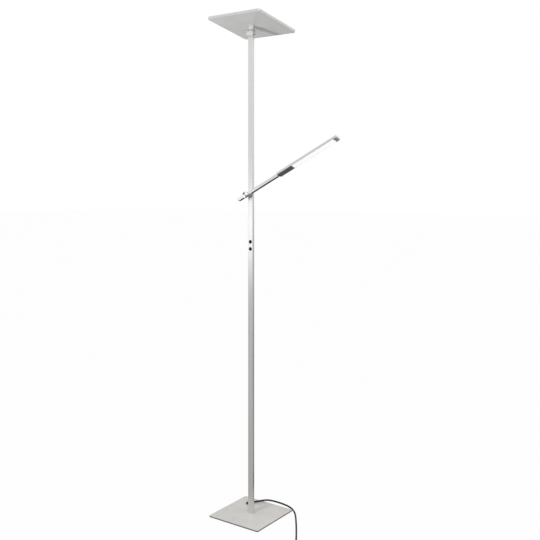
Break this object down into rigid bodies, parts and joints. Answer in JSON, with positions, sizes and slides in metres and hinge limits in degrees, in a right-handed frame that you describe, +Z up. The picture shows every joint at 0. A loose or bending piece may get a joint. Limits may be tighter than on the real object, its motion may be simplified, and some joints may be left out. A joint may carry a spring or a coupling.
{
  "type": "torchiere floor lamp",
  "caption": "Floor lamp: square base, slim pole, tilting square uplight head and a side reading light on a swinging, twisting arm, with push buttons.",
  "frame": {"origin": "on the floor, under the pole's axis, at the middle of the base", "axes": "+Z up along the pole; -Y is the front with the push buttons; the reading light reaches out along +X"},
  "size_m": [0.5039, 0.4149, 1.8217],
  "materials": {
    "pad_rubber": "matte foam rubber",
    "base_steel": "satin nickel, faintly mottled",
    "pole_steel": "satin nickel, brushed along its length",
    "satin_metal": "satin nickel",
    "turned_metal": "turned face",
    "zinc_insert": "as cast",
    "screw_steel": "plated",
    "black_screw": "black oxide",
    "black_plastic": "moulded, fine texture",
    "button_plastic": "moulded, satin",
    "switch_plastic": "moulded",
    "carrier_plastic": "moulded",
    "insulation_sleeve": "matte tube",
    "washer_polymer": "acetal",
    "circuit_board": "solder resist",
    "aluminium_board": "white solder resist",
    "led_emitter": "phosphor",
    "opal_diffuser": "opal acrylic",
    "cord_sheath": "soft matte sheath",
    "plug_plastic": "moulded, satin",
    "plug_brass": "bright"
  },
  "bodies": {
    "stand": {"base_pad": "pad_rubber", "base_plate": "base_steel", "base_lead": "cord_sheath", "foot_screws": "screw_steel", "pole_foot": "zinc_insert", "pole_lower": "pole_steel", "pole_upper": "pole_steel", "pole_joiner": "zinc_insert", "set_screws": "black_screw", "driver_sleeve": "insulation_sleeve", "driver_board": "circuit_board", "pole_leads": "cord_sheath", "board_carrier": "carrier_plastic", "control_board": "circuit_board", "button_switches": "switch_plastic", "hinge_yoke": "satin_metal", "hinge_pin": "screw_steel", "hinge_washers": "washer_polymer", "hinge_plate_right": "satin_metal", "hinge_plate_left": "satin_metal", "hinge_screws": "black_screw", "reading_post": "satin_metal", "post_nut": "zinc_insert", "hub_washers": "washer_polymer", "hub_cap": "turned_metal", "cord_gland": "black_plastic", "mains_cord": "cord_sheath", "cord_coil": "cord_sheath", "plug_lead": "cord_sheath", "mains_plug": "plug_plastic", "plug_blades": "plug_brass"},
    "torch_head": {"head_bracket": "satin_metal", "head_tray": "satin_metal", "head_bracket_screws": "screw_steel", "head_led_board": "aluminium_board", "head_board_screws": "screw_steel", "head_leds": "led_emitter", "head_diffuser": "opal_diffuser"},
    "reading_arm": {"arm_tube": "satin_metal", "arm_tail_cap": "satin_metal", "arm_nose": "satin_metal", "twist_shaft": "screw_steel", "twist_washer": "black_plastic", "twist_clip": "screw_steel"},
    "reading_head": {"reading_housing": "satin_metal", "reading_inner_cap": "satin_metal", "reading_end_cap": "satin_metal", "reading_board": "aluminium_board", "reading_leds": "led_emitter", "reading_diffuser": "opal_diffuser"},
    "torch_button": {"torch_button": "button_plastic"},
    "reading_button": {"reading_button": "button_plastic"}
  },
  "joints": [
    {"name": "head_tilt", "type": "hinge", "parent": "stand", "child": "torch_head", "pos_m": [0, 0, 1.767], "axis": [1, 0, 0], "range_deg": [-35.5, 54.5]},
    {"name": "arm_swing", "type": "hinge", "parent": "stand", "child": "reading_arm", "pos_m": [0, -0.0254, 1.1725], "axis": [0, -1, 0], "range_deg": [-117, 153]},
    {"name": "reading_head_twist", "type": "hinge", "parent": "reading_arm", "child": "reading_head", "pos_m": [0.14256, -0.0254, 1.24514], "axis": [0.891, 0, 0.454], "range_deg": [-65, 115]},
    {"name": "torch_button_press", "type": "slide", "parent": "stand", "child": "torch_button", "axis": [0, 1, 0], "range_m": [0, 0.0008], "stiffness_N_per_m": 500, "springref_m": -0.0024},
    {"name": "reading_button_press", "type": "slide", "parent": "stand", "child": "reading_button", "axis": [0, 1, 0], "range_m": [0, 0.0008], "stiffness_N_per_m": 500, "springref_m": -0.0024}
  ]
}
